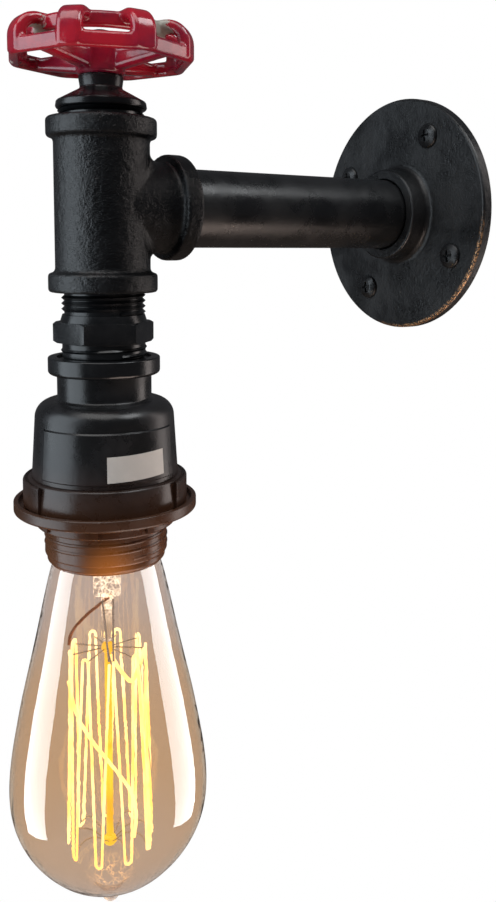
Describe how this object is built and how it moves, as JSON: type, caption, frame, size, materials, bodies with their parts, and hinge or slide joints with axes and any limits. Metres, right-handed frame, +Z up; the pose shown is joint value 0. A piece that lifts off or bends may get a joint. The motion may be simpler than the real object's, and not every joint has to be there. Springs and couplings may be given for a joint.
{
  "type": "pipe wall light",
  "caption": "Wall light of threaded pipe: round flange, short arm, tee with a red valve wheel on top, and a lampholder with a teardrop filament bulb below.",
  "frame": {"origin": "centre of the wall flange's back face, on the wall", "axes": "+Z up along the lamp's axis; the arm leaves the wall along -Y; +Y points into the wall"},
  "size_m": [0.0904, 0.1785, 0.3006],
  "materials": {
    "black_iron": "cast iron under satin black paint",
    "black_pipe": "smooth satin black paint on steel",
    "red_enamel": "glossy red enamel, chipped at corners",
    "valve_steel": "plain steel",
    "screw_steel": "dark zinc plate",
    "phenolic": "satin black moulded plastic",
    "steatite": "unglazed cream ceramic",
    "contact_brass": "plain brass",
    "cap_brass": "plain brass",
    "fibre": "graphited packing and fibre",
    "bush_plastic": "moulded black nylon",
    "wire_brown": "silicone sleeve",
    "wire_blue": "silicone sleeve",
    "wire_green": "silicone sleeve, green with yellow",
    "tin": "tinned metal",
    "black_glass": "fused dark glass",
    "amber_glass": "clear glass with an amber tint",
    "stem_glass": "clear glass",
    "carbon": "glowing carbon filament",
    "hook_wire": "fine molybdenum wire"
  },
  "bodies": {
    "fixture": {"wall_flange": "black_iron", "flange_screws": "screw_steel", "arm_pipe": "black_pipe", "pipe_bush": "bush_plastic", "tee": "black_iron", "valve_bonnet": "black_pipe", "stem_packing": "fibre", "thrust_washer": "fibre", "hex_nipple": "black_pipe", "earth_ring": "contact_brass", "lock_collar": "phenolic", "holder_cap": "phenolic", "holder_body": "phenolic", "socket_insert": "steatite", "socket_shell": "contact_brass", "centre_contact": "contact_brass", "line_terminal": "contact_brass", "neutral_terminal": "contact_brass", "terminal_screws": "tin", "insert_screws": "tin", "live_wire": "wire_brown", "neutral_wire": "wire_blue", "earth_wire": "wire_green", "wire_ferrules": "tin"},
    "wheel": {"valve_stem": "valve_steel", "handwheel": "red_enamel", "wheel_washer": "valve_steel", "wheel_nut": "valve_steel"},
    "bulb": {"bulb_cap": "cap_brass", "cap_insulator": "black_glass", "bulb_contact": "tin", "bulb_glass": "amber_glass", "glass_stem": "stem_glass", "glass_rod": "stem_glass", "filament": "carbon", "upper_hooks": "hook_wire", "lower_hooks": "hook_wire", "lead_wires": "hook_wire"},
    "ring": {"shade_ring": "phenolic"}
  },
  "joints": [
    {"name": "handwheel_turn", "type": "hinge", "parent": "fixture", "child": "wheel", "pos_m": [0, -0.1329, 0.04], "axis": [0, 0, 1], "continuous": true},
    {"name": "bulb_unscrew", "type": "slide", "parent": "fixture", "child": "bulb", "axis": [0, 0, -1], "range_m": [0, 0.024]},
    {"name": "shade_ring_unscrew", "type": "slide", "parent": "fixture", "child": "ring", "axis": [0, 0, -1], "range_m": [0, 0.012]}
  ]
}
